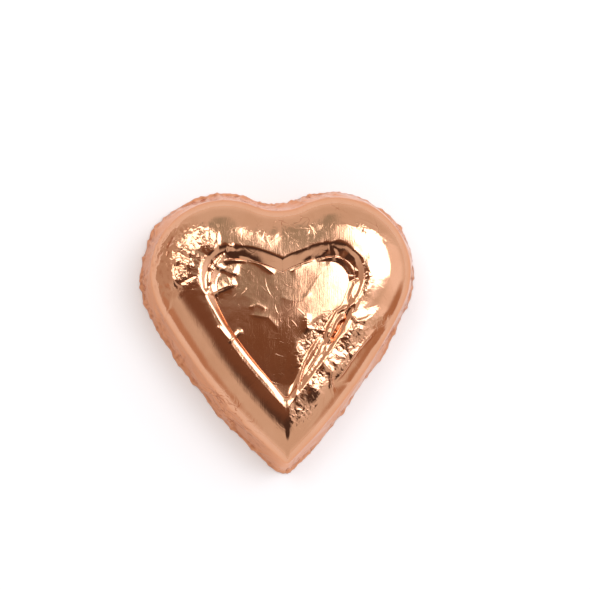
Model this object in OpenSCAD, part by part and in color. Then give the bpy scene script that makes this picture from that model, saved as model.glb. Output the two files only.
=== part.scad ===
// Moulded chocolate heart wrapped in one sheet of foil, lying on its back with its face up.
// The tip points to -Y and the two lobes to +Y. All sizes are in millimetres.

/* [Heart outline] */
// Width across the two lobes, over the foil
heart_width = 40; // [39:0.5:42]
// Length from the tip to the tops of the lobes, over the foil
heart_length = 40.6; // [39:0.2:43]
// Radius of each lobe at the base
lobe_radius = 12; // [11.5:0.1:12.5]
// Radius of the hollow between the lobes at the base
notch_radius = 7.4; // [6:0.1:8.4]
// Radius of the gently bowed flanks that run from the lobes to the tip
flank_radius = 84; // [70:1:120]
// Radius of the tip at the base
tip_radius = 2; // [1.6:0.1:3]

/* [Heart profile] */
// Thickness over the foil, from the table to the recess's upper edge
heart_thickness = 12; // [10:0.1:14]
// How far the side walls lean in between the base and the shoulder
wall_draft = 1.3; // [0.8:0.1:1.6]
// How far the face falls from the recess's upper edge to the top of the walls
shoulder_drop = 3.9; // [3:0.1:4.5]
// Fullness of that fall: 2 is a quarter of an ellipse, and more is flatter on top
shoulder_fullness = 2.2; // [2:0.05:2.6]
// Width of the flattest part of the face around the recess
rim_width = 2.9; // [2.6:0.1:3.2]

/* [Recessed panel] */
// Distance from the base outline to the recess's upper edge
rim_inset = 7.6; // [7.2:0.1:8]
// Width of the slope that leads down into the recess, seen from above
bevel_run = 1.3; // [1.1:0.1:1.8]
// How far the recess's upper edge is slid towards the tip
rim_slide = 0.5; // [0:0.05:0.7]
// How much further its lower edge is slid, which widens the slope at the top
bevel_slide = 0.7; // [0:0.05:0.8]
// Depth of the panel's edge below the rim
recess_depth = 0.7; // [0.5:0.1:1.4]
// How far the panel's middle stands above its edge
panel_dome = 0.35; // [0:0.05:0.6]
// How much the recess draws in across the lobes, as a share of its width
lobe_pinch = 0.07; // [0:0.01:0.1]
// Depth of the V where the recess's two brows meet, below their tops
brow_depth = 2.1; // [1.4:0.1:2.4]

/* [Foil] */
// Thickness of the foil with its crinkles
foil_thickness = 0.1; // [0.08:0.01:0.15]
// Gap between the foil and the chocolate
foil_gap = 0.03; // [0.02:0.01:0.05]
// How far each side flap crosses the middle line of the back
side_lap = 3; // [2:0.5:5]
// Distance of the top flap's free edge from the middle of the back
top_flap_edge = 5; // [3:0.5:7]
// Distance of the tip flap's free edge from the middle of the back
tip_flap_edge = 3; // [1:0.5:6]

/* [Hidden] */

foil_colour = [0.82, 0.56, 0.45];
chocolate_colour = [0.30, 0.16, 0.09];

// Straight steps in each arc of the outline and in the shoulder.
notch_steps = 5;
lobe_steps = 18;
flank_steps = 10;
tip_steps = 4;
shoulder_steps = 9;

// Sizes of the panel's inner rings, as shares of its edge.
panel_shares = [0.8, 0.55, 0.3, 0.12];
// The tip of an outline is never sharper than this, however far it is moved inwards.
least_tip_radius = 0.25;

// The flaps lie in three layers: top and tip on the table, then right, then left.
table_layer = 0;
right_layer = 1;
left_layer = 2;
back_stack = 3 * foil_thickness;
// The skin's hem ends just above the table, and stands straight past the flaps.
hem_lift = 0.04;
straight_foot = back_stack + 0.2;
shoulder_run = rim_inset - wall_draft;
far = heart_width;

// Centres of the arcs that make up the right half of the outline.
lobe_centre = [heart_width / 2 - lobe_radius, heart_length / 2 - lobe_radius];
tip_centre = [0, tip_radius - heart_length / 2];
notch_reach = lobe_radius + notch_radius;
notch_centre = [0, lobe_centre.y + sqrt(notch_reach * notch_reach - lobe_centre.x * lobe_centre.x)];
panel_centre = [0, lobe_centre.y - 5];
// Half the panel's width and length, measured from its centre.
panel_half = [heart_width / 2 - rim_inset - bevel_run, 11];

function angle_to(from, to) = atan2(to.y - from.y, to.x - from.x);

function arc_points(centre, radius, first, last, steps) =
    [for (i = [1:steps])
        let (a = first + (last - first) * i / steps)
        centre + radius * [cos(a), sin(a)]];

// The flank's arc touches the lobe's and the tip's from outside, so its centre lies
// flank_radius - lobe_radius from one of theirs and flank_radius - tip_radius from the other.
function flank_centre() =
    let (
        to_lobe = flank_radius - lobe_radius,
        to_tip = flank_radius - tip_radius,
        span = tip_centre - lobe_centre,
        reach = norm(span),
        along = (reach * reach + to_lobe * to_lobe - to_tip * to_tip) / (2 * reach),
        aside = sqrt(to_lobe * to_lobe - along * along),
        way = span / reach
    )
    lobe_centre + along * way + aside * [way.y, -way.x];

// The tip's centre moves up the middle line once the inset has used up the tip's radius.
function tip_centre_at(inset, radius) =
    let (f = flank_centre(), reach = flank_radius - inset - radius)
    radius > tip_radius - inset ? [0, f.y - sqrt(reach * reach - f.x * f.x)] : tip_centre;

// The right half of the outline, moved inwards by inset: notch, lobe, flank and tip.
function half_outline(inset) =
    let (
        f = flank_centre(),
        small = max(tip_radius - inset, least_tip_radius),
        t = tip_centre_at(inset, small),
        hollow = notch_radius + inset,
        to_lobe = angle_to(notch_centre, lobe_centre),
        to_flank = angle_to(f, lobe_centre),
        to_tip = angle_to(f, t)
    )
    concat(
        [notch_centre - [0, hollow]],
        arc_points(notch_centre, hollow, -90, to_lobe, notch_steps),
        arc_points(lobe_centre, lobe_radius - inset, to_lobe + 180, to_flank, lobe_steps),
        arc_points(f, flank_radius - inset, to_flank, to_tip, flank_steps),
        arc_points(t, small, to_tip, -90, tip_steps)
    );

// Moves the soft hollow between the lobes by a share towards two brows that meet in a V.
function with_brows(p, inset, share) =
    let (
        top = lobe_centre.y + lobe_radius - inset,
        brow = top - brow_depth * pow(1 - p.x / lobe_centre.x, 2)
    )
    p.x < lobe_centre.x && p.y > lobe_centre.y ? [p.x, p.y + share * (brow - p.y)] : p;

function share_between(value, low, high) = min(max((value - low) / (high - low), 0), 1);

// A point drawn in towards the middle line, by more the further up the lobes it lies.
function drawn_in(p, share) =
    let (up = share_between(p.y, 0, lobe_centre.y))
    [p.x * (1 - lobe_pinch * share * up * up * (3 - 2 * up)), p.y];

// The whole outline at an inset. The V grows across the rim, the slide across rim and bevel.
function outline(inset) =
    let (
        share = share_between(inset, rim_inset - rim_width, rim_inset),
        slide = rim_slide * share + bevel_slide * share_between(inset, rim_inset, rim_inset + bevel_run),
        half = [for (p = half_outline(inset)) drawn_in(with_brows(p, inset, share), share) - [0, slide]],
        last = len(half) - 1
    )
    concat(half, [for (i = [last - 1:-1:1]) [-half[i].x, half[i].y]]);

// The outside from the foot to the recess's lower edge, as [inset, height] pairs.
function profile(foot_z) = concat(
    [[0, foot_z],
     [0, straight_foot],
     [wall_draft / 2, (straight_foot + heart_thickness - shoulder_drop) / 2]],
    [for (i = [0:shoulder_steps])
        let (a = 90 * i / shoulder_steps, power = 2 / shoulder_fullness)
        [rim_inset - shoulder_run * pow(cos(a), power),
         heart_thickness - shoulder_drop * (1 - pow(sin(a), power))]],
    [[rim_inset + bevel_run / 2, heart_thickness - recess_depth / 2],
     [rim_inset + bevel_run, heart_thickness - recess_depth]]
);

// A profile moved square to itself, into the heart, by depth.
function deeper(line, depth) =
    [for (i = [0:len(line) - 1])
        let (
            before = line[max(i - 1, 0)],
            after = i < len(line) - 1 ? line[i + 1] : line[i] + [1, 0],
            way = (after - before) / norm(after - before)
        )
        line[i] + depth * [way.y, -way.x]];

function at_height(points, z) = [for (p = points) [p.x, p.y, z]];

// How far the pillowed panel stands above its edge at a point.
function pillow(p) =
    let (across = (p.x - panel_centre.x) / panel_half.x, along = (p.y - panel_centre.y) / panel_half.y)
    panel_dome * max(0, 1 - across * across - along * along);

// The rings of a heart that lies depth inside the outside, from its foot to near its middle.
function heart_rings(depth, foot_z) =
    let (
        line = deeper(profile(foot_z), depth),
        last = line[len(line) - 1],
        edge = outline(last.x)
    )
    concat(
        [for (i = [0:len(line) - 1]) at_height(outline(line[i].x), i == 0 ? foot_z : line[i].y)],
        [for (s = panel_shares)
            [for (e = edge)
                let (p = panel_centre + s * (e - panel_centre))
                [p.x, p.y, last.y + pillow(p)]]]
    );

function peak(depth, foot_z) =
    let (line = deeper(profile(foot_z), depth))
    [panel_centre.x, panel_centre.y, line[len(line) - 1].y + panel_dome];

// Triangles between the rings of count points each, the first point's number being start.
function ring_faces(rings, count, start) =
    [for (k = [0:rings - 2], i = [0:count - 1])
        let (a = start + k * count, b = a + count, j = (i + 1) % count)
        each [[a + i, b + j, a + j], [a + i, b + i, b + j]]];

function peak_faces(first, count, middle) =
    [for (i = [0:count - 1]) [first + i, middle, first + (i + 1) % count]];

function flipped(faces) = [for (f = faces) [f[2], f[1], f[0]]];

// A closed heart with a flat foot.
module solid_heart(depth, foot_z) {
    rings = heart_rings(depth, foot_z);
    count = len(rings[0]);
    levels = len(rings);
    polyhedron(
        points = concat([for (r = rings) each r], [peak(depth, foot_z)]),
        faces = concat(
            ring_faces(levels, count, 0),
            peak_faces(count * (levels - 1), count, count * levels),
            [[for (i = [0:count - 1]) i]]
        ),
        convexity = 4
    );
}

// A thin skin with an open foot: its outside, its inside, and the hem that joins them.
module hollow_heart(wall, foot_z) {
    outside = heart_rings(0, foot_z);
    inside = heart_rings(wall, foot_z);
    count = len(outside[0]);
    levels = len(outside);
    start = count * levels + 1;
    polyhedron(
        points = concat([for (r = outside) each r], [peak(0, foot_z)],
                        [for (r = inside) each r], [peak(wall, foot_z)]),
        faces = concat(
            ring_faces(levels, count, 0),
            peak_faces(count * (levels - 1), count, start - 1),
            flipped(ring_faces(levels, count, start)),
            flipped(peak_faces(start + count * (levels - 1), count, start + count * levels)),
            [for (i = [0:count - 1])
                let (j = (i + 1) % count)
                each [[i, j, start + j], [i, start + j, start + i]]]
        ),
        convexity = 8
    );
}

// One leaf of the foil folded over the back, in its own layer and cut to its free edge.
module back_leaf(layer, cut) {
    color(foil_colour)
        translate([0, 0, layer * foil_thickness])
            linear_extrude(foil_thickness)
                intersection() {
                    polygon(outline(foil_thickness));
                    polygon(cut);
                }
}

module chocolate_heart() {
    color(chocolate_colour) solid_heart(foil_thickness + foil_gap, back_stack);
}

module foil_front() {
    color(foil_colour) hollow_heart(foil_thickness, hem_lift);
}

module foil_flap_left() {
    back_leaf(left_layer, [[-far, -far], [side_lap - 2, -far], [side_lap, -4],
                           [side_lap + 1.5, 3], [side_lap - 1, far], [-far, far]]);
}

module foil_flap_right() {
    back_leaf(right_layer, [[far, -far], [1 - side_lap, -far], [-side_lap - 1, 1],
                            [-side_lap, 8], [-side_lap, far], [far, far]]);
}

module foil_flap_top() {
    back_leaf(table_layer, [[-far, far], [-far, top_flap_edge + 6], [-9, top_flap_edge + 3],
                            [0, top_flap_edge], [8, top_flap_edge + 2.5], [far, top_flap_edge + 6],
                            [far, far]]);
}

module foil_flap_tip() {
    back_leaf(table_layer, [[-far, -far], [-far, -tip_flap_edge - 4], [-6, -tip_flap_edge - 1.5],
                            [1, -tip_flap_edge], [7, -tip_flap_edge - 2], [far, -tip_flap_edge - 5],
                            [far, -far]]);
}

chocolate_heart();
foil_front();
foil_flap_left();
foil_flap_right();
foil_flap_top();
foil_flap_tip();
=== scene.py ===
from math import cos, pi, radians, sin

import bpy
import numpy as np
from mathutils import Matrix, Vector


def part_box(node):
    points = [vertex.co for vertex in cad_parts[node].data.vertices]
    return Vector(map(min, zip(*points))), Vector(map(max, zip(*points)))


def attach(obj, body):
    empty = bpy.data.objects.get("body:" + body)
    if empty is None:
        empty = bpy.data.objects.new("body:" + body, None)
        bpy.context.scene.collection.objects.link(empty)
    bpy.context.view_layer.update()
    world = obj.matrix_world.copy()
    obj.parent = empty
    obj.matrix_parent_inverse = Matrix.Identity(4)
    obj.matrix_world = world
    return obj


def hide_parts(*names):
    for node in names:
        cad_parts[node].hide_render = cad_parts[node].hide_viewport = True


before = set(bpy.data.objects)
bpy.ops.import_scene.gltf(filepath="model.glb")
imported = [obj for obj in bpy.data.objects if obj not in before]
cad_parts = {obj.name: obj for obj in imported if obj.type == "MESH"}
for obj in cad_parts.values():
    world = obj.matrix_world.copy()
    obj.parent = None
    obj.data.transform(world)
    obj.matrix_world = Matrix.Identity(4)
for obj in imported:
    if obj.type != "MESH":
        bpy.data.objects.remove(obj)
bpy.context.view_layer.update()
MM = 0.001


# ---- Camera -------------------------------------------------------------------------------
# A long lens looks almost straight down on the heart, from a little to its left and its tip.
# The heart lies below the middle of the frame and is turned very slightly against it.

camera_left, camera_down = 0.069, 0.030
camera_roll = radians(-1.74)
camera_reach = 0.30
camera_lens = 126.5
heart_middle = Vector((0, 0, 5)) * MM
frame_right, frame_up = 1.98 * MM, 5.29 * MM

outward = Vector((-camera_left, -camera_down, 1)).normalized()
level_right = Vector((0, 1, 0)).cross(outward).normalized()
level_up = outward.cross(level_right)
camera_right = level_right * cos(camera_roll) + level_up * sin(camera_roll)
camera_up = level_up * cos(camera_roll) - level_right * sin(camera_roll)

camera = bpy.data.objects.new("camera", bpy.data.cameras.new("camera"))
bpy.context.scene.collection.objects.link(camera)
camera.data.lens = camera_lens
camera.data.sensor_width = 36
camera.data.clip_start = 0.01
camera.location = heart_middle + outward * camera_reach
aim = heart_middle + camera_right * frame_right + camera_up * frame_up
gaze = (aim - camera.location).normalized()
side = gaze.cross(camera_up).normalized()
camera.rotation_euler = Matrix((side, side.cross(gaze), -gaze)).transposed().to_euler()
bpy.context.scene.camera = camera


# ---- Foil over the face and walls ---------------------------------------------------------
# One square of rose-gold lacquered aluminium foil, pressed over the moulded heart. It lies
# smooth where it has been rubbed down, and crumples where it has to gather.

skin_low, skin_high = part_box("foil_front")
half_length = (skin_high.y - skin_low.y) / 2 / MM
thickness = skin_high.z / MM

# The outline from above, of arcs about the notch, the lobes, the flanks and the tip.
half_width = 20.0
lobe_radius = 12.0
notch_radius = 7.4
flank_radius = 84.0
tip_radius = 2.0
least_tip_radius = 0.5
arc_points = (34, 138, 164, 16)

# The section: a wall, a full shoulder up to the crown of the rim, and the bevelled recess.
hem_radius = 0.14
hem_top = 0.17
wall_draft = 1.3
shoulder_drop = 3.9
shoulder_fullness = 2.2
rim_width = 2.9
rim_inset = 7.6
rim_start = rim_inset - rim_width
crown_inset = rim_inset - 0.4
bevel_run = 1.3
bevel_foot = rim_inset + bevel_run
recess_depth = 0.7
panel_dome = 0.35
panel_half_length = 11

# The recess isn't the outline drawn smaller: it lies nearer the tip, its lobes are pinched
# in, and two brows meet in a V at its top.
rim_slide = 0.5
bevel_slide = 0.7
lobe_pinch = 0.07
brow_depth = 2.1

lobe_x, lobe_y = half_width - lobe_radius, half_length - lobe_radius
tip_y = tip_radius - half_length
notch_y = lobe_y + np.sqrt((lobe_radius + notch_radius) ** 2 - lobe_x ** 2)
panel_y = lobe_y - 5


def flank_centre():
    """The point that lies flank minus lobe radius from the lobe's centre and flank minus tip
    radius from the tip's: where those two circles cross, on the far side of the heart."""
    to_lobe, to_tip = flank_radius - lobe_radius, flank_radius - tip_radius
    span = np.array([-lobe_x, tip_y - lobe_y])
    reach = np.hypot(*span)
    along = (reach ** 2 + to_lobe ** 2 - to_tip ** 2) / (2 * reach)
    aside = np.sqrt(to_lobe ** 2 - along ** 2)
    way = span / reach
    return lobe_x + along * way[0] + aside * way[1], lobe_y + along * way[1] - aside * way[0]


flank_x, flank_y = flank_centre()


def share_between(value, low, high):
    """0 below low, 1 above high, and even in between."""
    return np.clip((value - low) / (high - low), 0, 1)


def heart_outline(inset):
    """Closed outlines, one row for each inset: arcs about the notch, lobe, flank and tip
    centres whose radii shrink or grow by the inset, then their mirror image. Towards the
    recess the hollow between the lobes turns into two brows that meet in a V."""
    inset = np.asarray(inset, float).reshape(-1, 1)
    tip_round = np.maximum(tip_radius - inset, least_tip_radius)
    risen = flank_y - np.sqrt((flank_radius - inset - tip_round) ** 2 - flank_x ** 2)
    tip = np.where(tip_radius - inset < least_tip_radius, risen, tip_y)
    to_lobe = np.arctan2(lobe_y - notch_y, lobe_x)
    to_flank = np.arctan2(lobe_y - flank_y, lobe_x - flank_x)
    to_tip = np.arctan2(tip - flank_y, -flank_x)
    arcs = [(0, notch_y, notch_radius + inset, -pi / 2, to_lobe),
            (lobe_x, lobe_y, lobe_radius - inset, to_lobe + pi, to_flank),
            (flank_x, flank_y, flank_radius - inset, to_flank, to_tip),
            (0, tip, tip_round, to_tip, -pi / 2)]
    xs, ys = [0 * inset], [notch_y - notch_radius - inset]
    for (centre_x, centre_y, radius, first, last), count in zip(arcs, arc_points):
        turn = first + (last - first) * np.arange(1, count + 1) / count
        xs.append(centre_x + radius * np.cos(turn))
        ys.append(centre_y + radius * np.sin(turn))
    x, y = np.hstack(xs), np.hstack(ys)
    brow = lobe_y + lobe_radius - inset - brow_depth * (1 - x / lobe_x) ** 2
    share = share_between(inset, rim_start, rim_inset)
    y = np.where((x < lobe_x) & (y > lobe_y), y + share ** 2 * (brow - y), y)
    upper = share_between(y, 0, lobe_y)
    x = x * (1 - lobe_pinch * share * upper * upper * (3 - 2 * upper))
    y = y - rim_slide * share - bevel_slide * share_between(inset, rim_inset, bevel_foot)
    return np.hstack([x, -x[:, -2:0:-1]]), np.hstack([y, y[:, -2:0:-1]])


def skin_profile(soften, levels):
    """The skin's section as insets, heights and lengths from the hem: the foil drawn straight
    up to where it touches a full-bellied quarter ellipse, over that to the rim, and down the
    bevel. A running mean rounds its corners, less at the rim, and its points lie closer
    together above the wall and closest at the bevel's foot."""
    turn = np.linspace(0, pi / 2, 240)
    shoulder = np.stack([
        rim_inset - (rim_inset - wall_draft) * np.cos(turn).clip(0) ** (2 / shoulder_fullness),
        thickness - shoulder_drop * (1 - np.sin(turn) ** (2 / shoulder_fullness))], 1)
    shoulder = shoulder[np.argmin(shoulder[:, 0] / (shoulder[:, 1] - hem_top)):]
    wall = np.linspace([0, hem_top], shoulder[0], 30)[:-1]
    down = np.linspace(0, 1, 20)[1:, None]
    bevel = [rim_inset, thickness] + down * [bevel_run, -recess_depth]
    points = np.vstack([wall, shoulder, bevel])
    length = np.concatenate([[0], np.cumsum(np.hypot(*np.diff(points, axis=0).T))])
    fine = np.linspace(0, length[-1], 1500)
    sharp = np.stack([np.interp(fine, length, points[:, k]) for k in (0, 1)], 1)

    def running_mean(reach):
        kernel = np.hanning(2 * reach + 1)
        kernel = kernel / kernel.sum()
        line = np.pad(sharp, ((reach, reach), (0, 0)), "reflect", reflect_type="odd")
        return np.stack([np.convolve(line[:, k], kernel, "valid") for k in (0, 1)], 1)

    soft, crisp = running_mean(int(soften / fine[1])), running_mean(int(0.4 * soften / fine[1]))
    line = soft + (crisp - soft) * share_between(sharp[:, :1], rim_inset - 0.9, rim_inset - 0.2)
    inset, height = line.T
    density = (0.55 + 0.5 * (height > 6) + 0.3 * (inset > rim_start - 1)
               + 1.2 * (inset > rim_inset + 0.9 * bevel_run))
    reached = np.cumsum(density)
    reached = (reached - reached[0]) / (reached[-1] - reached[0])
    share = np.linspace(0, 1, levels)
    return [np.interp(share, reached, values) for values in (inset, height, fine)]


def pillow(x, y):
    """The panel's rise above its edge: a paraboloid that ends where the recess does."""
    across = x / (half_width - rim_inset - bevel_run)
    along = (y - panel_y) / panel_half_length
    return panel_dome * np.maximum(0, 1 - across ** 2 - along ** 2)


inset, rise, run = skin_profile(soften=0.6, levels=82)
x, y = heart_outline(inset)
around = x.shape[1]
z = np.repeat(rise[:, None], around, 1)

# The sheet's own flat coordinates: past the rim's crown it goes on straight outwards.
crown_x, crown_y = heart_outline(crown_inset)
rim_x, rim_y = heart_outline(crown_inset - 1)
out_x, out_y = rim_x - crown_x, rim_y - crown_y
stretch = np.hypot(out_x, out_y)
beyond = np.maximum(np.interp(crown_inset, inset, run) - run, 0)[:, None]
sheet_x = np.where(beyond > 0, crown_x + out_x / stretch * beyond, x)
sheet_y = np.where(beyond > 0, crown_y + out_y / stretch * beyond, y)

# Rings that shrink towards the panel's middle, closest together at its edge.
panel_rings, panel_crowding = 48, 1.4
panel_share = 1 - np.linspace(0, 1, panel_rings)[1:-1, None] ** panel_crowding
ring_x, ring_y = x[-1] * panel_share, panel_y + (y[-1] - panel_y) * panel_share
z = np.vstack([z, z[-1] + pillow(ring_x, ring_y)])
x, y = np.vstack([x, ring_x]), np.vstack([y, ring_y])
sheet_x, sheet_y = np.vstack([sheet_x, ring_x]), np.vstack([sheet_y, ring_y])
levels = len(x)


def ring_normals(x, y, z):
    """Unit normals of a grid of closed rings: across each point, the step along the ring
    crossed with the step up the rings, turned to point outwards."""
    place = np.stack([x, y, z], -1)
    way = np.cross(np.gradient(place, axis=0), np.roll(place, -1, 1) - np.roll(place, 1, 1))
    return way / np.maximum(np.linalg.norm(way, axis=-1, keepdims=True), 1e-12)


def creased(a, b, pitch, seed, turn=0.0):
    """A sheet creased along a net of triangles: random heights from -1 to 1 at the corners of
    a slanting net, joined by flat triangles, so each crease is sharp and each facet flat."""
    net, net_slant = 64, 0.866
    heights = np.random.default_rng(seed).uniform(-1, 1, (net, net))
    q = (a * sin(turn) + b * cos(turn)) / pitch * net_slant
    p = (a * cos(turn) - b * sin(turn)) / pitch + 0.5 * q
    i, j = np.floor(p).astype(int), np.floor(q).astype(int)
    u, v = p - i, q - j
    i, j, next_i, next_j = i % net, j % net, (i + 1) % net, (j + 1) % net
    near, far = heights[i, j], heights[next_i, next_j]
    return np.where(u > v,
                    near * (1 - u) + heights[next_i, j] * (u - v) + far * v,
                    near * (1 - v) + heights[i, next_j] * (v - u) + far * u)


def crumple(a, b, pitch, seed):
    """Crumpled foil: the triangle net bent by a coarser one, with finer nets on top."""
    bent_a = a + 0.55 * pitch * creased(a, b, 2.3 * pitch, seed + 1, 0.4)
    bent_b = b + 0.55 * pitch * creased(a, b, 2.3 * pitch, seed + 2, 1.3)
    return (creased(bent_a, bent_b, pitch, seed + 3, 0.2)
            + 0.5 * creased(bent_b, bent_a, pitch / 1.83, seed + 4, 0.9)
            + 0.22 * creased(bent_a, bent_b, pitch / 3.4, seed + 5, 2.1)) / 1.5


def swell(a, b, pitch, seed):
    """Soft unevenness: four slow waves in scattered directions, from -1 to 1."""
    rng = np.random.default_rng(seed)
    turns, phases, slows = rng.uniform(0, pi, 4), rng.uniform(0, 2 * pi, 4), rng.uniform(0.7, 1.4, 4)
    total = 0
    for turn, phase, slow in zip(turns, phases, slows):
        total = total + np.sin((a * cos(turn) + b * sin(turn)) * 2 * pi / (pitch * slow) + phase)
    return total / 4


def patch(middle, size, turn=0.0):
    """A soft-edged oval patch of the sheet, 1 in its middle and 0 outside its half sizes."""
    a, b = sheet_x - middle[0], sheet_y - middle[1]
    p = (a * cos(turn) + b * sin(turn)) / size[0]
    q = (b * cos(turn) - a * sin(turn)) / size[1]
    return np.clip(2.0 - 2.0 * np.sqrt(p * p + q * q), 0, 1)


def strongest(patches):
    """The strongest of several patches at each point: rows of strength, middle, half sizes
    and turn."""
    return np.maximum.reduce([strength * patch(*where) for strength, *where in patches])


def beside(a, b, line):
    """Signed distance of each point from a broken line, positive on its left, and how far
    along the line the nearest spot lies, from 0 to 1."""
    line = np.asarray(line, float)
    ways = np.diff(line, axis=0)
    lengths = np.hypot(*ways.T)
    best, side, share = np.full(a.shape, np.inf), np.zeros(a.shape), np.zeros(a.shape)
    passed = 0
    for start, way, length in zip(line, ways, lengths):
        along = ((a - start[0]) * way[0] + (b - start[1]) * way[1]) / length
        off = ((b - start[1]) * way[0] - (a - start[0]) * way[1]) / length
        near = np.clip(along, 0, length)
        away = np.hypot(along - near, off)
        closer = away < best
        best = np.where(closer, away, best)
        side = np.where(closer, np.where(off < 0, -1, 1), side)
        share = np.where(closer, (passed + near) / lengths.sum(), share)
        passed = passed + length
    return best * side, share


def pleat(line, tall, left, right):
    """A creased fold along a broken line of the sheet: it falls off exponentially on either
    side, each side at its own rate, so its crest is sharp, and runs out towards both ends."""
    off, share = beside(sheet_x, sheet_y, line)
    fade = np.clip(7 * np.minimum(share, 1 - share), 0, 1)
    return tall * fade * np.exp(-np.abs(off) / np.where(off > 0, left, right))


normal = ring_normals(x, y, z)

# Where the foil had to gather: on the left lobe, down the right flank, and by the lobes' tops.
gather = strongest([
    (1.0, (-15.3, 10.3), (4.6, 5.8), 0.35),
    (0.9, (-12.0, 13.2), (3.4, 2.4)),
    (1.0, (8.0, -3.6), (2.4, 9.5), -0.76),
    (0.9, (4.4, -1.6), (2.2, 6.0), -0.70),
    (1.4, (2.7, -10.2), (2.3, 4.0), -0.5),
    (0.6, (13.2, 1.2), (3.0, 2.4)),
    (0.45, (11.6, 7.0), (1.3, 4.0), -0.1),
    (0.22, (-0.8, 14.6), (7.5, 1.9)),
    (0.5, (12.6, 13.2), (4.6, 0.9), -0.55),
])
ragged = share_between(crumple(sheet_x, sheet_y, 2.4, 70), -0.55, 0.15)
gather = gather * (0.3 + 0.7 * ragged)

# On the left it crumples every way. On the right its creases are combed along the flank.
slant = 0.71
down_flank, across_flank = (sheet_x + sheet_y) * slant, (sheet_y - sheet_x) * slant
curl = 0.4 * creased(sheet_x, sheet_y, 3.0, 57)
combed = creased(0.65 * down_flank + curl, across_flank - curl, 1.7, 50, 0.3)
combed = 1.3 * combed + 0.2 * crumple(0.5 * down_flank, across_flank, 1.2, 54)
curly = crumple(sheet_x, sheet_y, 1.8, 20)
right_side = share_between(sheet_x, -2, 2)
finer = 0.15 * (1 - 0.75 * right_side) * crumple(sheet_x, sheet_y, 0.85, 10)
height = gather * (0.06 + 0.24 * (curly + right_side * (combed - curly) * 0.85) + finer)

# Smoother places that are creased all the same: inside the left lobe of the recess, between
# the lobes, and in the recess's upper right. Rows of depth, pitch, seed, middle and half sizes.
for depth, pitch, seed, middle, size in [
        (0.11, 2.3, 92, (-8.4, 8.2), (3.4, 3.2)),
        (0.025, 1.9, 61, (-0.8, 14.2), (8.5, 2.6)),
        (0.10, 1.5, 64, (6.4, 10.4), (2.4, 1.5))]:
    height += depth * patch(middle, size) * crumple(sheet_x, sheet_y, pitch, seed)

# No part of it is quite even.
height += 0.030 * swell(sheet_x, sheet_y, 9, 31)
for depth, pitch, seed in [(0.016, 3.1, 40), (0.010, 1.6, 45)]:
    height += depth * crumple(sheet_x, sheet_y, pitch, seed)

# The bevel was pressed in with a fingertip, so it is dented all the way down. Down_bevel is
# 0 at the rim, 1 at the bevel's foot, and grows on over the panel.
panel_reach = 9
inset_here = np.vstack([inset[:, None], bevel_foot + panel_reach * (1 - panel_share)])
down_bevel = (inset_here - rim_inset) / bevel_run
on_bevel = np.clip(1.6 - np.abs(down_bevel - 0.5) * 2, 0, 1)
height += on_bevel * 0.022 * crumple(sheet_x, sheet_y, 1.5, 140)

# Down the left side and at the tip it runs on level past the rim, slopes gently along a shelf
# that widens towards the tip, and only then drops to the bevel's foot.
level_rise, shelf_rise = 0.74, 0.40
shelf_start = 0.10 + 0.42 * share_between(y, 6, -9)
shelf = 0.08 + 0.14 * share_between(y, 5, -3)
held_up = level_rise * np.clip(down_bevel, 0, shelf_start)
held_up += shelf_rise * np.clip(down_bevel - shelf_start, 0, shelf)
held_up *= np.clip((1 - down_bevel) / (1 - shelf - shelf_start), 0, 1)
left_side = share_between(x, 2, -2) * share_between(y, 6.5, 3)
held_up *= np.maximum(left_side, share_between(y, -8, -11))

# Down the right side, and by the left lobe, it spans the corner between the bevel and the
# panel, and it is creased there.
span_height, span_reach = 0.33, 0.6
low_down = share_between(y, 6, 3)
left_corner = share_between(x, -5, -7.5) * share_between(y, 4.5, 7)
spanned = np.maximum(share_between(x, 4.5, 7.5), share_between(x, 0, 2) * low_down)
spanned = np.maximum(spanned, left_corner) * (0.85 + 0.3 * swell(x, y, 5, 71))
held_up += span_height * spanned * np.clip(1 - np.abs(down_bevel - 1) / span_reach, 0, 1)
height += held_up
broken = on_bevel * np.maximum(share_between(x, 1, 5) * (0.6 + 0.4 * low_down), left_corner)
height += 0.30 * broken * crumple(sheet_x, sheet_y, 2.0, 141)

# Round the wall the spare foil stands in pleats that die out upwards, close together where
# the outline turns sharply, and the hem is crumpled where it was pressed against the table.
step_x, step_y = np.roll(x[0], -1) - x[0], np.roll(y[0], -1) - y[0]
hem_step = np.hypot(step_x, step_y)
along = np.cumsum(hem_step)
girth = along[-1]
up = np.pad(run, (0, levels - len(run)), constant_values=run[-1] + 5)[:, None]
bend = np.abs(np.gradient(np.unwrap(np.arctan2(step_y, step_x)))) / hem_step
crowding = np.cumsum((0.45 + 6.5 * np.minimum(bend, 0.3)) * hem_step)


def wall_pleats(count, seed):
    """Creased folds that start at the hem, two in five of them tall. Each falls off
    exponentially on either side, three times as fast on one, and narrows to nothing at its
    own height, leaning a little."""
    rng = np.random.default_rng(seed)
    turn = (np.arange(count) + rng.uniform(0.1, 0.9, count)) / count
    starts = np.interp(turn * crowding[-1], crowding, along)
    is_tall = rng.uniform(0, 1, count) < 0.4
    reaches = np.where(is_tall, rng.uniform(5, 11, count), rng.uniform(1.5, 5, count))
    leans, depths = rng.normal(0, 0.26, count), rng.uniform(0.12, 0.42, count)
    widths, steep_sides = rng.uniform(0.3, 0.8, count), rng.choice([-1, 1], count)
    total = np.zeros(x.shape)
    for start, reach, lean, depth, width, steep_side in zip(
            starts, reaches, leans, depths, widths, steep_sides):
        off = (along - start - lean * up + girth / 2) % girth - girth / 2
        fade = np.clip(1 - up / reach, 0, 1)
        slope = np.where(off * steep_side > 0, width / 3, width) * (0.4 + 0.6 * fade)
        crest = depth * (0.7 + reach / 20) * np.sqrt(fade)
        total = np.maximum(total, crest * np.exp(-np.abs(off) / slope))
    return total


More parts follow.
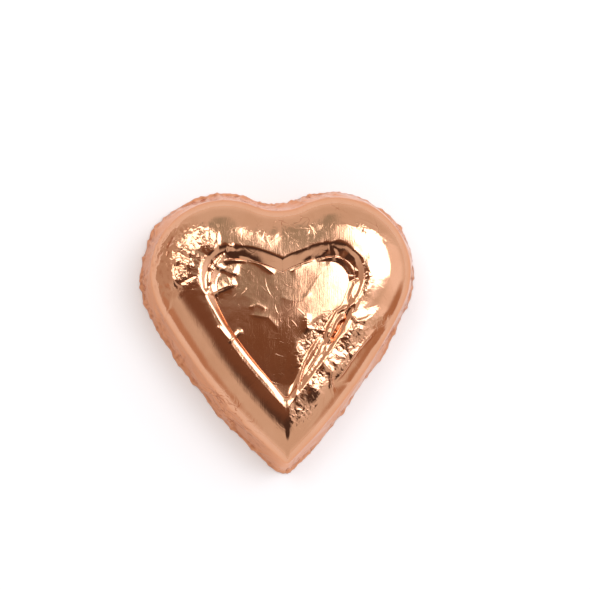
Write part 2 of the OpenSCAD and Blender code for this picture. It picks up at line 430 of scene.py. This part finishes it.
ground = np.clip(1 - z / 1.6, 0, 1)
climb = 9.5 + 3.0 * swell(sheet_x, sheet_y, 7, 33)
wall_share = share_between(z, climb, 0.25 * climb) * (inset_here < crown_inset)
round_wall, up_wall = along + 0 * up, up + 0 * along

# Fingers held it at both sides and left of the tip, and crumpled it more there.
handled = strongest([
    (1.0, (-22.0, 4.0), (9.0, 11.0)),
    (1.0, (22.0, 3.0), (9.0, 11.0)),
    (0.7, (-12.5, -17.5), (6.0, 6.0)),
])
handled = np.maximum(handled, 0.3)
handled *= share_between(crumple(round_wall, up_wall, 4.5, 115), -0.6, 0.3)
height += (0.55 + 0.45 * handled) * wall_pleats(count=84, seed=400)
height += wall_share * (0.10 + 0.24 * creased(round_wall, 0.75 * up_wall, 3.4, 110, 0.5))
height += wall_share * (0.05 + 0.22 * handled) * crumple(round_wall, 0.7 * up_wall, 1.7, 112)
height += ground * 0.20 * (0.9 + crumple(round_wall, up_wall, 0.9, 120))

# The folds that are large enough to see one by one: each one's line over the sheet, how tall
# it is, and how far it reaches to the left and right of the line.
folds = [
    ([(10.5, 4.0), (7.5, 0.8), (6.4, -1.3), (5.8, -3.5)], 0.36, 0.16, 0.34),
    ([(9.3, 3.3), (7.5, 2.3), (6.2, 0.0), (5.7, -1.9)], 0.30, 0.28, 0.16),
    ([(5.3, -0.8), (2.8, -4.8), (2.0, -6.8), (1.7, -8.6), (1.1, -9.9)], 0.36, 0.16, 0.36),
    ([(5.3, -4.8), (6.5, -6.1), (6.3, -7.8), (6.7, -9.1)], 0.24, 0.30, 0.16),
    ([(13.5, -0.2), (11.8, -1.8), (10.3, -3.4), (8.2, -6.1), (6.7, -7.7)], 0.22, 0.16, 0.36),
    ([(3.3, 2.3), (3.3, 0.2), (5.8, -0.2)], 0.12, 0.22, 0.45),
    ([(9.6, 2.0), (10.3, 0.9), (11.7, 1.1), (13.0, 1.9)], 0.18, 0.35, 0.18),
    ([(9.2, -0.5), (10.5, 0.0), (11.7, -0.5)], 0.12, 0.2, 0.3),
    ([(-10.9, 5.2), (-9.8, 9.7)], 0.22, 0.25, 0.9),
    ([(-10.9, 5.2), (-6.5, 6.9)], 0.18, 0.9, 0.25),
    ([(-9.8, 9.6), (-6.5, 8.1)], 0.14, 0.6, 0.25),
    ([(-9.9, 9.4), (-6.9, 12.4)], 0.16, 0.2, 0.7),
    ([(-8.0, -1.6), (-6.0, 0.2)], 0.12, 0.25, 0.15),
    ([(-7.7, -1.3), (-9.4, 0.9)], 0.08, 0.20, 0.15),
    ([(-4.9, 3.3), (-3.7, 3.8), (-2.4, 3.0)], 0.035, 0.2, 0.6),
    ([(-4.9, 2.3), (-2.3, 1.8), (-0.8, 0.0)], 0.045, 0.6, 0.2),
    ([(9.2, 7.8), (10.5, 7.5)], -0.06, 0.2, 0.3),
    ([(9.2, 6.5), (10.7, 7.2)], -0.06, 0.3, 0.2),
    ([(2.9, 4.4), (5.4, 7.9)], 0.012, 0.2, 0.9),
    ([(-0.6, 4.8), (1.2, 4.2), (2.8, 4.4), (4.0, 5.3)], 0.028, 0.3, 0.7),
    ([(-6.2, 10.9), (-3.6, 9.7), (-1.2, 8.0)], 0.10, 0.6, 0.2),
    ([(1.0, 8.3), (2.6, 9.0), (4.6, 10.4)], 0.06, 0.2, 0.5),
    ([(8.4, 14.8), (10.2, 13.9), (12.5, 13.5), (13.8, 12.4), (15.7, 11.2)], 0.05, 0.2, 0.5),
    ([(-15.2, 5.8), (-16.2, 4.2), (-21.3, 0.5), (-26.1, -2.4)], 0.10, 0.15, 0.8),
    ([(-13.0, -10.4), (-9.6, -14.8), (-8.0, -22.0)], 0.10, 0.15, 0.7),
    ([(-8.2, -9.6), (-9.6, -14.8), (-10.5, -19.0)], 0.10, 0.7, 0.15),
    ([(-9.6, -14.8), (-3.4, -15.6)], 0.09, 0.15, 0.7),
    ([(-6.0, -13.0), (-5.5, -22.0)], 0.09, 0.15, 0.7),
    ([(18.4, -13.9), (9.2, -7.6), (6.0, -7.7)], 0.06, 0.15, 0.6),
    ([(16.8, 1.0), (15.0, -1.2), (13.0, -3.2)], 0.06, 0.2, 0.6),
]
for line, tall, left, right in folds:
    height += pleat(line, tall, left, right)

# Above the hem it dips by 0.03 mm at most, so that the chocolate stays under it.
height = np.maximum(height, -0.03 * (1 - ground))


def smoothed(values, reach):
    """The mean over a square of the grid, round the rings and across them."""
    padded = np.pad(values, ((reach, reach), (0, 0)), "edge")
    rows = sum(padded[k:k + len(values)] for k in range(2 * reach + 1))
    return sum(np.roll(rows, k, 1) for k in range(-reach, reach + 1)) / (2 * reach + 1) ** 2


# Painted shade for the hollows of the crinkles: where a point lies below the mean of its neighbours,
# the foil's colour is later darkened. And some smooth places are finely creased.
crinkle = height - held_up
painted_hollow_shade = np.clip((smoothed(crinkle, 2) - crinkle) / 0.05 - 0.15, 0, 1)
finely_creased = np.maximum(0.3 * wall_share, strongest([
    (1.2, (-8.4, -14.2), (8.5, 5.0), -0.88),
    (0.3, (10.0, 16.0), (7.0, 3.0), -0.5),
    (0.4, (0.0, 15.0), (9.0, 3.0)),
]))

point = np.stack([x, y, z], -1) + normal * height[..., None]

# Under the heart the sheet turns in round the hem and closes behind the flaps.
under_height, under_inset = 0.34, 0.6
hem_turn = np.linspace(0, 0.8 * pi, 7)[:0:-1, None]
hem_x, hem_y = heart_outline(hem_radius * (1 - np.cos(hem_turn)))
hem_z = np.broadcast_to(hem_top - hem_radius * np.sin(hem_turn), hem_x.shape)
hem = np.stack([hem_x, hem_y, hem_z], -1) + (normal * height[..., None])[:1] * [1, 1, 0]
inside_x, inside_y = heart_outline(under_inset)
under_share = np.array([0.25, 0.6, 0.9, 1.0])[:, None]
under_z = np.full((len(under_share), around), under_height)
under = np.stack([inside_x * under_share, inside_y * under_share, under_z], -1)
point = np.concatenate([under, hem, point])


def new_piece(name, verts, faces):
    """An object with a smooth-shaded mesh of points in millimetres and lists of corners."""
    mesh = bpy.data.meshes.new(name)
    mesh.from_pydata((verts * MM).tolist(), [], faces)
    mesh.shade_smooth()
    piece = bpy.data.objects.new(name, mesh)
    bpy.context.scene.collection.objects.link(piece)
    return piece


def closed_skin(name, point, middle_below, middle_above):
    """A piece of closed rings, with quads between them and a fan of triangles at either end."""
    levels, around = point.shape[:2]
    ring = np.arange(levels * around).reshape(levels, around)
    lower, upper = ring[:-1], ring[1:]
    corners = [np.roll(lower, -1, 1), lower, upper, np.roll(upper, -1, 1)]
    quads = np.stack(corners, -1).reshape(-1, 4)
    below, above = levels * around, levels * around + 1
    first, last = ring[0], ring[-1]
    fans = np.concatenate([
        np.stack([first, np.roll(first, -1), np.full(around, below)], -1),
        np.stack([np.roll(last, -1), last, np.full(around, above)], -1)])
    verts = np.vstack([point.reshape(-1, 3), middle_below, middle_above])
    return new_piece(name, verts, quads.tolist() + fans.tolist())


under_middle, panel_middle = [0, 0, under_height], [0, panel_y, point[-1, :, 2].mean()]
wrapper = closed_skin("foil_wrapper", point, under_middle, panel_middle)


def give(piece, name, kind, values):
    """Stores one value, or one vector, for each point of a mesh."""
    field = "vector" if kind == "FLOAT_VECTOR" else "value"
    piece.data.attributes.new(name, kind, "POINT").data.foreach_set(field, np.ravel(values))


def carried_under(values):
    """A value for each point of the skin's rings: the lowest one's values above the hem go on
    round the hem and under the heart."""
    return np.pad(values, ((len(under) + len(hem), 0), (0, 0)), "edge").ravel()


flat_x, flat_y = carried_under(sheet_x), carried_under(sheet_y)
flat = np.stack([flat_x, flat_y, 0 * flat_x], -1)
give(wrapper, "sheet", "FLOAT_VECTOR", np.vstack([flat, [0, 0, 0], [0, panel_y, 0]]))
# One of these values is painted shade for the hollows of the crinkles.
for name, values in [("crumpled", gather), ("painted_hollow_shade", painted_hollow_shade), ("creasy", finely_creased)]:
    give(wrapper, name, "FLOAT", np.append(carried_under(values), [0, 0]))
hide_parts("foil_front")
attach(wrapper, "root")


class Wire:
    """One output socket in a node tree. Arithmetic between wires, or with plain numbers, adds
    Math nodes, and node() adds any other kind of node."""

    def __init__(self, tree, socket=None):
        self.tree, self.socket = tree, socket

    def node(self, kind, settings=None, inputs=None, output=0):
        """Adds a node, gives it its settings, then fills its inputs with values or wires. Gives
        back the wire of one output, or all of them by name where output is None."""
        made = self.tree.nodes.new("ShaderNode" + kind)
        for key, value in (settings or {}).items():
            setattr(made, key, value)
        for key, value in (inputs or {}).items():
            if isinstance(value, Wire):
                self.tree.links.new(value.socket, made.inputs[key])
            else:
                made.inputs[key].default_value = value
        if output is None:
            return {socket.name: Wire(self.tree, socket) for socket in made.outputs if socket.enabled}
        return Wire(self.tree, made.outputs[output])

    def plug(self, shader, name):
        """Leads the wire into a named input of a shader that is already there."""
        self.tree.links.new(self.socket, shader.inputs[name])

    def maths(self, operation, *others):
        """A Math node whose first value is this one."""
        return self.node("Math", {"operation": operation}, dict(enumerate((self, *others))))

    def __add__(self, other):
        return self.maths("ADD", other)

    def __sub__(self, other):
        return self.maths("SUBTRACT", other)

    def __rsub__(self, other):
        return self.node("Math", {"operation": "SUBTRACT"}, {0: other, 1: self})

    def __mul__(self, other):
        return self.maths("MULTIPLY", other)

    def __abs__(self):
        return self.maths("ABSOLUTE")

    __radd__, __rmul__ = __add__, __mul__

    def step(self, low, high, below=0.0, above=1.0, easing="SMOOTHSTEP"):
        """A smooth step from below to above while the value goes from low to high."""
        return self.node("MapRange", {"interpolation_type": easing}, {
            "Value": self, "From Min": low, "From Max": high, "To Min": below, "To Max": above})

    def blend(self, under, over):
        """The colour under, and the other laid over it as far as this value says."""
        return self.node("Mix", {"data_type": "RGBA"}, {0: self, 6: under, 7: over}, 2)


def new_material(name):
    """A new material, the wires that add nodes to its tree, and its Principled shader."""
    material = bpy.data.materials.new(name)
    material.use_nodes = True
    return material, Wire(material.node_tree), material.node_tree.nodes["Principled BSDF"]


foil, wires, surface = new_material("rose_gold_foil")
surface.inputs["Metallic"].default_value = 1
surface.inputs["Specular Tint"].default_value = (0.92, 0.66, 0.52, 1)
rose_gold, deeper_rose_gold = (0.74, 0.405, 0.255, 1), (0.70, 0.37, 0.225, 1)
# The deep orange brown below is painted shade, laid into the hollows of the crinkles and along the
# starred creases.
painted_shade_colour = (0.38, 0.095, 0.032, 1)

sheet = wires.node("Attribute", {"attribute_name": "sheet"}, output=1)
# One attribute read here is painted shade for the hollows of the crinkles.
crumpled, painted_shade_share, creasy = (
    wires.node("Attribute", {"attribute_name": name}, output=2)
    for name in ("crumpled", "painted_hollow_shade", "creasy"))


def speckle(scale, rough, stretch=(1, 1, 1), shift=0.0):
    """Noise from about -1 to 1 over the sheet, so many lumps to the millimetre."""
    placed = wires.node("VectorMath", {"operation": "MULTIPLY_ADD"}, {
        0: sheet, 1: stretch, 2: (shift,) * 3})
    noise = wires.node("TexNoise", {"noise_dimensions": "2D"}, {
        "Vector": placed, "Scale": scale, "Detail": 3.0, "Roughness": rough})
    return noise * 2 - 1


def swayed(scale, reach):
    """The sheet's own coordinates pushed about by noise, so many lumps to the millimetre, by
    up to half the reach in mm, so that straight creases drawn in them come out bent."""
    wander = wires.node("TexNoise", {"noise_dimensions": "2D"}, {
        "Vector": sheet, "Scale": scale, "Detail": 2.0}, 1)
    return wires.node("VectorMath", {"operation": "MULTIPLY_ADD"}, {
        0: wander, 1: (reach, reach, 0), 2: sheet})


def cells(place, scale):
    """The cells of a Voronoi net: each one's three random numbers, and the way to a place
    from its cell's point, as one vector and by its parts."""
    cell = wires.node("TexVoronoi", {"voronoi_dimensions": "2D"}, {
        "Vector": place, "Scale": scale}, None)
    chance = wires.node("SeparateColor", {}, {"Color": cell["Color"]}, None)
    way = wires.node("VectorMath", {"operation": "SUBTRACT"}, {0: place, 1: cell["Position"]})
    return chance, way, wires.node("SeparateXYZ", {}, {"Vector": way}, None)


def tent(off, width):
    """1 on a crease's line, falling evenly to 0 at its width on either side."""
    return abs(off).step(0.0, width, 1.0, 0.0, "LINEAR")


def scattered(scale, longest, width, share, bow):
    """Short creases strewn over the sheet, at most one to each cell of a Voronoi net: a tent
    across a line through the cell's point, at the cell's own angle, that fades out along the
    line. Share is how many of the cells have one, and bow how far they curve."""
    chance, _, way = cells(sheet, scale)
    angle = chance["Red"] * (2 * pi)
    cosine, sine = angle.maths("COSINE"), angle.maths("SINE")
    run = way["X"] * cosine + way["Y"] * sine
    off = way["Y"] * cosine - way["X"] * sine + bow * run * run
    fade = abs(run).step(0.4 * longest, longest, 1.0, 0.0)
    chosen = chance["Green"].step(1 - share, 1 - share + 0.02)
    return tent(off, width) * fade * chosen * (chance["Blue"] * 1.6 - 0.5)


def starred(place, scale, longest, width):
    """Creases that run out from pinched points, one to each cell of a Voronoi net: the turn
    round the point is cut into five slices, and each holds one arm of its own length, whose
    section is a tent that narrows outwards."""
    arms = 5
    chance, way, parts = cells(place, scale)
    away = wires.node("VectorMath", {"operation": "LENGTH"}, {0: way}, "Value")
    turn = parts["Y"].maths("ARCTAN2", parts["X"]) * (arms / (2 * pi)) + arms * chance["Red"]
    which = turn.maths("FLOOR")
    own = wires.node("TexWhiteNoise", {"noise_dimensions": "1D"}, {
        "W": which + 10 * chance["Green"]}, "Value")
    off = (turn - which - 0.25 - 0.5 * own) * away * (2 * pi / arms)
    narrowing = away.step(0.0, longest, width, 0.3 * width)
    return tent(off, narrowing) * (away - longest * own).step(0.0, -0.35 * longest)


# Crumpled patches are faceted. Short creases are strewn over the whole sheet, and stars of them where
# it is finely creased. The stars also get painted shade: the colour darkens along each of their
# creases.
facet_net = {"Vector": swayed(scale=1.3, reach=0.9), "Scale": 1.2}
to_next = wires.node("TexVoronoi", {"voronoi_dimensions": "2D", "feature": "F2"}, facet_net)
to_nearest = wires.node("TexVoronoi", {"voronoi_dimensions": "2D", "feature": "F1"}, facet_net)
faceted = crumpled * (0.045 * (to_next - to_nearest))
strewn = (0.006 * scattered(scale=0.30, longest=1.9, width=0.11, share=0.45, bow=0.10)
          + 0.005 * scattered(scale=0.62, longest=0.9, width=0.08, share=0.5, bow=0.2)
          + 0.007 * scattered(scale=1.3, longest=0.42, width=0.06, share=0.4, bow=0.3)
          * (0.4 + crumpled))
bowed = swayed(scale=0.42, reach=2.2)
pinched = (starred(bowed, scale=0.24, longest=4.6, width=0.20)
           + 0.8 * starred(bowed, scale=0.5, longest=2.2, width=0.14)) * creasy

# Rolling left fine lines along the sheet, and the lacquer has a faint grain.
rolled = speckle(scale=5.0, rough=0.6, stretch=(1.9, 0.07, 1))
grain = speckle(scale=2.6, rough=0.6, shift=7.0)
relief = 0.0022 * rolled + 0.0012 * grain + faceted + strewn - 0.028 * pinched
bump = wires.node("Bump", {}, {"Height": relief, "Distance": MM, "Strength": 1.0})
bump.plug(surface, "Normal")
(crumpled * 0.04 + 0.085 + 0.015 * grain).plug(surface, "Roughness")

tint = speckle(scale=0.22, rough=0.55, shift=3.0).step(-0.5, 0.5)
# Painted shade: the colour turns towards the deep orange brown in the hollows of the crinkles and
# along the starred creases, by three quarters at most.
deep = painted_shade_share.maths("MAXIMUM", pinched.step(0.15, 0.65)) * 0.75
colour = deep.blend(tint.blend(rose_gold, deeper_rose_gold), painted_shade_colour)
colour.plug(surface, "Base Color")
wrapper.data.materials.append(foil)


# ---- Chocolate ----------------------------------------------------------------------------
# Milk chocolate poured into a rigid mould: satin where it lay against the mould, with pale
# clouds of cocoa butter, a few bubbles, and fine rubs from the foil.

chocolate, wires, surface = new_material("milk_chocolate")
moulded = wires.node("TexCoord", output="Object")
milk_brown, cocoa_butter_cloud = (0.105, 0.036, 0.015, 1), (0.19, 0.085, 0.045, 1)


def grained(scale, detail, squeeze=(1, 1, 1)):
    """Noise from about -1 to 1 through the solid, so many lumps to the metre."""
    placed = wires.node("VectorMath", {"operation": "MULTIPLY"}, {0: moulded, 1: squeeze})
    return wires.node("TexNoise", {}, {"Vector": placed, "Scale": scale, "Detail": detail}) * 2 - 1


clouds = grained(140, detail=4.0)
rubs = grained(1400, detail=2.0, squeeze=(0.15, 1, 0.15))
bubble = wires.node("TexVoronoi", {}, {"Vector": moulded, "Scale": 420}).step(0.10, 0.22)
relief = 0.04 * clouds + 0.01 * rubs + 0.12 * bubble
clouds.step(-0.1, 0.7).blend(milk_brown, cocoa_butter_cloud).plug(surface, "Base Color")
(0.36 + 0.10 * clouds + 0.05 * rubs).plug(surface, "Roughness")
wires.node("Bump", {}, {"Height": relief, "Distance": MM}).plug(surface, "Normal")
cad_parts["chocolate_heart"].material_slots[0].material = chocolate


# ---- Flaps folded over the back -----------------------------------------------------------
# The four sides of the same sheet, folded under and pressed flat. The left one lies nearest
# the chocolate, then the right one, and the top and tip ones against the table. Their free
# edges are torn.

layer_height = 0.1
leaf_thickness = 0.012
fold_inset = 0.16
steps_along, steps_in = 260, 60
base_x, base_y = (row[0] for row in heart_outline(fold_inset))

# The free edges, which run past the heart on both sides.
far = 40
top_edge = [(-far, 11), (-9, 8), (0, 5), (8, 7.5), (far, 11)]
tip_edge = [(-far, -7), (-6, -4.5), (1, -3), (7, -5), (far, -8)]
left_edge = [(1, -far), (3, -4), (4.5, 3), (2, far)]
right_edge = [(-2, -far), (-4, 1), (-3, 8), (-3, far)]


def evenly(line, count):
    """Points set evenly along a broken line, and how far along it each one is."""
    line = np.asarray(line, float)
    length = np.concatenate([[0], np.cumsum(np.hypot(*np.diff(line, axis=0).T))])
    at = np.linspace(0, length[-1], count)
    return np.stack([np.interp(at, length, line[:, k]) for k in (0, 1)], 1), at


def flap(side, layer, covered, free_edge, seed):
    """A sheet ruled between the covered stretch of the base's outline, which it hangs from,
    and its free edge, with pleats that run in from the hem and die out."""
    first = np.flatnonzero(covered & ~np.roll(covered, 1))[0]
    hangs_from, hem_x, hem_y = (np.roll(row, -first) for row in (covered, base_x, base_y))
    hem_line, along = evenly(np.stack([hem_x[hangs_from], hem_y[hangs_from]], 1), steps_along)
    edge_line, _ = evenly([hem_line[0], *free_edge, hem_line[-1]], steps_along)
    torn = 0.28 * crumple(along, 0 * along, 1.7, seed)
    edge_line = edge_line + np.stack([0.4 * torn, torn], 1)
    inward = np.linspace(0, 1, steps_in)[:, None]
    grid = hem_line[None] * (1 - inward[..., None]) + edge_line[None] * inward[..., None]
    deep = inward * np.hypot(*(edge_line - hem_line).T)
    rows = np.broadcast_to(along, deep.shape)
    lift = (0.035 * crumple(rows, 0.25 * deep, 1.5, seed + 7) * np.exp(-deep / 5)
            + 0.028 * crumple(grid[..., 0], grid[..., 1], 2.7, seed + 8)
            + 0.012 * crumple(grid[..., 0], grid[..., 1], 1.1, seed + 9))
    lift = np.clip(lift, -0.042, 0.042) + (layer + 0.5) * layer_height
    count = steps_in * steps_along
    spot = np.arange(count).reshape(steps_in, steps_along)
    corners = [spot[:-1, :-1], spot[:-1, 1:], spot[1:, 1:], spot[1:, :-1]]
    quads = np.stack(corners, -1).reshape(-1, 4)
    verts = np.dstack([grid, lift]).reshape(-1, 3)
    piece = new_piece("sheet_" + side, verts, quads.tolist())
    piece.data.materials.append(foil)
    give(piece, "sheet", "FLOAT_VECTOR", np.dstack([grid + 50, 0 * lift]))
    give(piece, "crumpled", "FLOAT", np.full(count, 0.4))
    give(piece, "creasy", "FLOAT", np.full(count, 0.25))
    wall = piece.modifiers.new("thickness", "SOLIDIFY")
    wall.thickness = leaf_thickness * MM
    wall.offset = 0
    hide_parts("foil_flap_" + side)
    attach(piece, "root")


def y_on(edge, x):
    """How far up a free edge that runs from left to right lies at each x."""
    edge_x, edge_y = np.array(edge).T
    return np.interp(x, edge_x, edge_y)


def x_on(edge, y):
    """How far right a free edge that runs from the tip upwards lies at each y."""
    edge_x, edge_y = np.array(edge).T
    return np.interp(y, edge_y, edge_x)


# The hem is followed clockwise. The free edges are listed the other way round, so each sheet
# still doubles back on itself along its free edge. Reversing the lists would lay it flat.
flap("top", 0, base_y > y_on(top_edge, base_x), top_edge[-2:0:-1], seed=300)
flap("tip", 0, base_y < y_on(tip_edge, base_x), tip_edge[1:-1], seed=320)
flap("right", 1, base_x > x_on(right_edge, base_y), right_edge[1:-1], seed=340)
flap("left", 2, base_x < x_on(left_edge, base_y), left_edge[-2:0:-1], seed=360)


# ---- Table and studio ---------------------------------------------------------------------
# A plain white table under two soft boxes, one at either side of the lens, with a dark card
# in front of the heart's tip. The foil shows all of them as a mirror would.

bpy.ops.mesh.primitive_plane_add(size=3, location=(0, 0, 0))
table = bpy.context.object
table.name = "table"
white, wires, surface = new_material("white_table")
surface.inputs["Base Color"].default_value = (0.87, 0.90, 0.955, 1)
surface.inputs["Roughness"].default_value = 0.9
surface.inputs["Specular IOR Level"].default_value = 0
surface.inputs["Emission Color"].default_value = (1, 1, 1, 1)
table_glow = 0.12
ray = wires.node("LightPath", output=None)
shown = ray["Is Camera Ray"].maths("MAXIMUM", ray["Is Glossy Ray"])
shown = shown.maths("MAXIMUM", ray["Is Transmission Ray"])
(shown * table_glow).plug(surface, "Emission Strength")
table.data.materials.append(white)

box_distance = 1.2
right_box, left_box = (0.375, 0.195, 0.91), (-0.27, 0.30, 0.91)


def softbox(name, direction, size, strength):
    """A rectangular lamp that faces the heart from a direction, as bright as strength says
    whatever its size."""
    lamp = bpy.data.lights.new(name, "AREA")
    lamp.shape = "RECTANGLE"
    lamp.size, lamp.size_y = size
    lamp.energy = strength * pi * size[0] * size[1]
    box = bpy.data.objects.new(name, lamp)
    bpy.context.scene.collection.objects.link(box)
    way = Vector(direction).normalized()
    across = Vector((0, 1, 0)).cross(way).normalized()
    box.location = way * box_distance
    box.rotation_euler = Matrix((across, way.cross(across), way)).transposed().to_euler()


softbox("right_softbox", right_box, size=(0.56, 0.50), strength=4.0)
softbox("left_softbox", left_box, size=(0.46, 0.42), strength=3.6)

world = bpy.data.worlds.new("studio")
bpy.context.scene.world = world
world.use_nodes = True
wires = Wire(world.node_tree)
view_way = wires.node("TexCoord", output="Generated")


def toward(direction):
    """The cosine of the angle between a ray and a direction."""
    unit = tuple(Vector(direction).normalized())
    return wires.node("VectorMath", {"operation": "DOT_PRODUCT"}, {0: view_way, 1: unit}, "Value")


def within(cosine, inner, outer):
    """1 within the inner angle in degrees, 0 past the outer one, smooth in between."""
    return cosine.step(cos(radians(outer)), cos(radians(inner)))


def near_horizon(turn, rise):
    """A direction near the horizon, by its turn from the right and about its rise above the
    table, in degrees."""
    return cos(radians(turn)), sin(radians(turn)), sin(radians(rise))


zenith, rightward, lobeward = toward((0, 0, 1)), toward((1, 0, 0)), toward((0, 1, 0))
overhead = toward((0.082, -0.03, 0.996))

# A warm ceiling and a pale horizon, a dim wall at the left and a bright one at the right, two
# brown ones low beside the tip, and a glow round the right soft box.
sky = zenith.step(0.45, 0.0).blend((0.84, 0.78, 0.72, 1), (1.0, 0.95, 0.92, 1))
for direction, inner, outer, colour in [
        ((-0.97, 0.26, 0.36), 20, 55, (0.65, 0.53, 0.45, 1)),
        ((1, 0.09, 0.75), 12, 32, (1.2, 1.15, 1.15, 1)),
        (near_horizon(-153, 16), 0.45 * 15, 1.4 * 15, (0.62, 0.40, 0.29, 1)),
        (near_horizon(-24, 14), 0.45 * 14, 1.4 * 14, (0.56, 0.34, 0.23, 1)),
        (right_box, 11, 18, (1.3, 1.3, 1.4, 1))]:
    sky = within(toward(direction), inner, outer).blend(sky, colour)

# The grey ceiling shows between the two soft boxes.
gap = rightward.step(-0.10, -0.06) * rightward.step(0.11, 0.07)
gap = gap * lobeward.step(0.02, 0.08) * zenith.step(0.60, 0.76)
sky = gap.blend(sky, (0.47, 0.48, 0.42, 1))

# The dark card, and its darkest part by the tip.
front = toward((0.1, 1, 0)).step(0.18, -0.01) * toward((0.81, 0.58, 0)).step(0.15, 0.05)
sky = (front * within(overhead, 20, 37)).blend(sky, (0.23, 0.12, 0.075, 1))
near_tip = toward((0.25, -0.95, 0.0)).step(0.05, 0.30) * front * within(overhead, 28, 34)
sky = near_tip.blend(sky, (0.085, 0.055, 0.045, 1))

sky = wires.node("LightPath", output="Is Camera Ray").blend(sky, (1.0, 1.0, 1.0, 1))
sky.plug(world.node_tree.nodes["Background"], "Color")

bpy.context.scene.view_settings.view_transform = "Standard"
